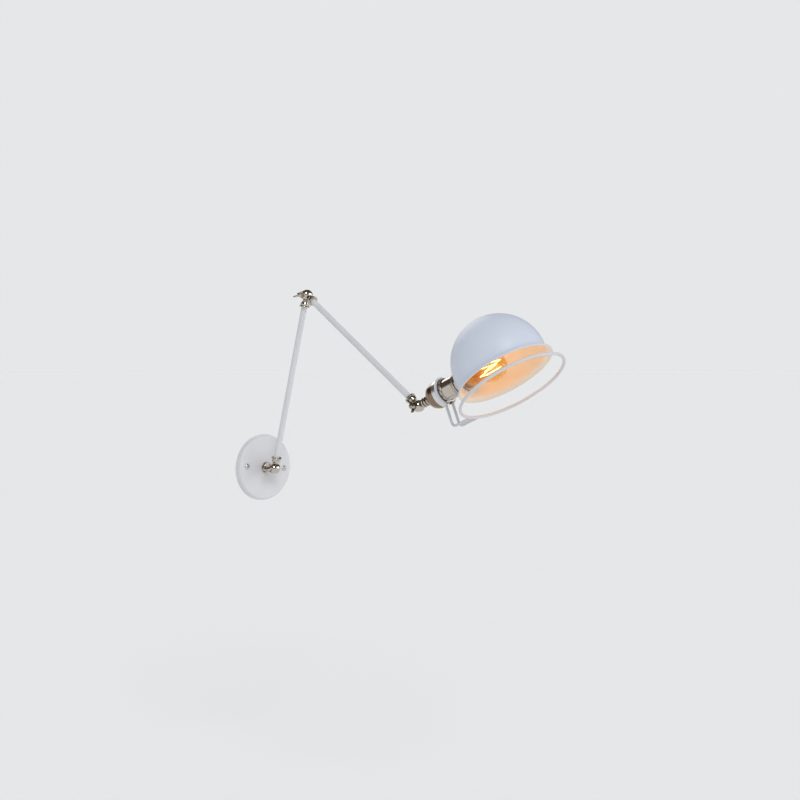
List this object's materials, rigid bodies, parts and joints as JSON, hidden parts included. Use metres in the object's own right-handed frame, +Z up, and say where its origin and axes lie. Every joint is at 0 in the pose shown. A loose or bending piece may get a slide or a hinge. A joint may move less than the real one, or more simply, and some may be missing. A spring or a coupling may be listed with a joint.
{
  "type": "swing arm wall lamp",
  "caption": "Wall lamp with a round plate, folding tube arms on wing-nut knuckles, and a white dome shade with a wire guard ring below its rim.",
  "frame": {"origin": "centre of the wall plate's back face, on the wall", "axes": "+Y into the wall, +Z up, the lamp reaches out towards -Y, hinges turn about X"},
  "size_m": [0.1685, 0.6384, 0.3762],
  "materials": {
    "white_paint": "satin white paint",
    "shade_paint": "satin white paint",
    "satin_nickel": "satin nickel plate",
    "polished_nickel": "polished nickel plate",
    "dark_nickel": "smoked nickel plate",
    "zinc_steel": "zinc plate",
    "brass_hardware": "plain",
    "solder": "dull",
    "terminal_plastic": "matt",
    "liner_ceramic": "glazed",
    "black_glass": "gloss",
    "amber_glass": "amber tint, clear",
    "clear_glass": "clear",
    "glowing_filament": "glowing",
    "fine_wire": "bare wire"
  },
  "bodies": {
    "base": {"wall_plate": "white_paint", "mounting_bracket": "zinc_steel", "plate_screws": "polished_nickel", "earth_screw": "brass_hardware", "terminal_block": "terminal_plastic", "terminal_screws": "zinc_steel", "base_knuckle": "polished_nickel", "base_collar": "polished_nickel", "base_lock_washer": "zinc_steel", "base_lock_nut": "zinc_steel", "base_washer": "polished_nickel"},
    "lower_arm": {"lower_arm_base_knuckle": "polished_nickel", "lower_arm_base_collar": "polished_nickel", "base_hinge_stud": "polished_nickel", "lower_arm_tube": "white_paint", "lower_arm_elbow_collar": "polished_nickel", "lower_arm_elbow_knuckle": "polished_nickel", "elbow_washer": "polished_nickel"},
    "base_wing_nut": {"base_wing_nut": "polished_nickel"},
    "upper_arm": {"upper_arm_elbow_knuckle": "polished_nickel", "upper_arm_elbow_collar": "polished_nickel", "elbow_hinge_stud": "polished_nickel", "upper_arm_tube": "white_paint", "upper_arm_head_collar": "polished_nickel", "upper_arm_head_knuckle": "polished_nickel", "head_washer": "polished_nickel"},
    "elbow_wing_nut": {"elbow_wing_nut": "polished_nickel"},
    "head": {"head_knuckle": "polished_nickel", "head_hinge_stud": "polished_nickel", "ringed_neck": "polished_nickel", "socket_cap": "dark_nickel", "socket_cap_nut": "zinc_steel", "guard_band": "satin_nickel", "wire_guard": "white_paint", "socket_shell": "polished_nickel", "bead_ring": "polished_nickel", "socket_insulator": "liner_ceramic", "centre_contact": "brass_hardware", "contact_sleeve": "brass_hardware", "shade": "shade_paint", "shade_outer_ring": "polished_nickel", "shade_inner_ring": "polished_nickel", "bulb_cap": "brass_hardware", "bulb_tip": "black_glass", "bulb_contact": "solder", "bulb_glass": "amber_glass", "bulb_stem": "clear_glass", "filament": "glowing_filament", "filament_supports": "fine_wire"},
    "head_wing_nut": {"head_wing_nut": "polished_nickel"}
  },
  "joints": [
    {"name": "base_hinge", "type": "hinge", "parent": "base", "child": "lower_arm", "pos_m": [0, -0.0356, 0], "axis": [-1, 0, 0], "range_deg": [-100, 15]},
    {"name": "base_nut_turn", "type": "hinge", "parent": "lower_arm", "child": "base_wing_nut", "pos_m": [0, -0.0356, 0], "axis": [-1, 0, 0], "range_deg": [0, 90]},
    {"name": "elbow_hinge", "type": "hinge", "parent": "lower_arm", "child": "upper_arm", "pos_m": [0, -0.12595, 0.30698], "axis": [-1, 0, 0], "range_deg": [-14, 100]},
    {"name": "elbow_nut_turn", "type": "hinge", "parent": "upper_arm", "child": "elbow_wing_nut", "pos_m": [0, -0.12595, 0.30698], "axis": [-1, 0, 0], "range_deg": [0, 90]},
    {"name": "head_hinge", "type": "hinge", "parent": "upper_arm", "child": "head", "pos_m": [0, -0.38744, 0.12252], "axis": [-1, 0, 0], "range_deg": [-120, 55]},
    {"name": "head_nut_turn", "type": "hinge", "parent": "head", "child": "head_wing_nut", "pos_m": [0, -0.38744, 0.12252], "axis": [-1, 0, 0], "range_deg": [0, 90]}
  ]
}
